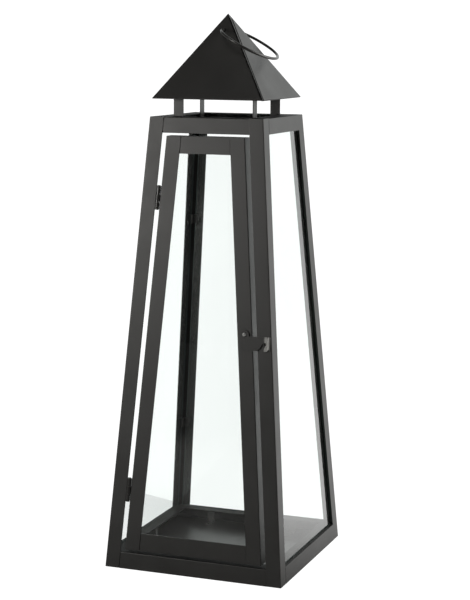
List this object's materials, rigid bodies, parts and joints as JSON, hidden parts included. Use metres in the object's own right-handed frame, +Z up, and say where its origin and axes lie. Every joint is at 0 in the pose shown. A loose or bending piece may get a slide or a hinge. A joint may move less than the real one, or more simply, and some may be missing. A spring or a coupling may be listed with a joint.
{
  "type": "candle lantern",
  "caption": "Tall tapered candle lantern: black angle-steel frame with glass walls, a hinged latched door, a vented pyramid roof and a wire carrying ring.",
  "frame": {"origin": "centre of the square footprint, on the surface it stands on", "axes": "+Z up; the hinged door faces -Y, hinged on the -X side"},
  "size_m": [0.2, 0.2, 0.587],
  "materials": {
    "frame_angle": "satin charcoal powder coat",
    "door_angle": "satin charcoal powder coat",
    "roof_sheet": "satin charcoal powder coat",
    "floor_sheet": "satin charcoal powder coat",
    "clip_steel": "satin charcoal powder coat",
    "hinge_steel": "semi-gloss black paint",
    "latch_steel": "semi-gloss black paint",
    "ring_wire": "semi-gloss black paint",
    "glass": "clear float glass"
  },
  "bodies": {
    "frame": {"corner_post_front_left": "frame_angle", "corner_post_front_right": "frame_angle", "corner_post_rear_left": "frame_angle", "corner_post_rear_right": "frame_angle", "top_rail_front": "frame_angle", "top_rail_right": "frame_angle", "top_rail_rear": "frame_angle", "top_rail_left": "frame_angle", "base_rail_front": "frame_angle", "base_rail_right": "frame_angle", "base_rail_rear": "frame_angle", "base_rail_left": "frame_angle", "floor_plate": "floor_sheet", "floor_clips": "clip_steel", "glass_left": "glass", "glass_right": "glass", "glass_rear": "glass", "glass_clips_left": "clip_steel", "glass_clips_right": "clip_steel", "glass_clips_rear": "clip_steel", "roof_cap": "roof_sheet", "roof_leg_front_left": "frame_angle", "roof_leg_front_right": "frame_angle", "roof_leg_rear_left": "frame_angle", "roof_leg_rear_right": "frame_angle", "hinge_upper_frame_leaf": "hinge_steel", "hinge_lower_frame_leaf": "hinge_steel", "hinge_upper_pin": "hinge_steel", "hinge_lower_pin": "hinge_steel", "latch_keeper": "latch_steel"},
    "door": {"door_stile_left": "door_angle", "door_stile_right": "door_angle", "door_rail_top": "door_angle", "door_rail_bottom": "door_angle", "glass_door": "glass", "glass_clips_door": "clip_steel", "hinge_upper_door_leaf": "hinge_steel", "hinge_lower_door_leaf": "hinge_steel", "latch_rivet": "latch_steel"},
    "latch": {"latch_strap": "latch_steel"},
    "ring": {"handle_ring": "ring_wire"}
  },
  "joints": [
    {"name": "door_hinge", "type": "hinge", "parent": "frame", "child": "door", "pos_m": [-0.063, -0.0815, 0.24], "axis": [-0.0766, -0.0766, -0.9941], "range_deg": [0, 165]},
    {"name": "latch_swing", "type": "hinge", "parent": "door", "child": "latch", "pos_m": [0.05074, -0.07999, 0.2596], "axis": [0, -0.997, 0.0769], "range_deg": [0, 75]},
    {"name": "ring_swing", "type": "hinge", "parent": "frame", "child": "ring", "pos_m": [0, 0, 0.5695], "axis": [0, 1, 0], "range_deg": [-248, 10]}
  ]
}
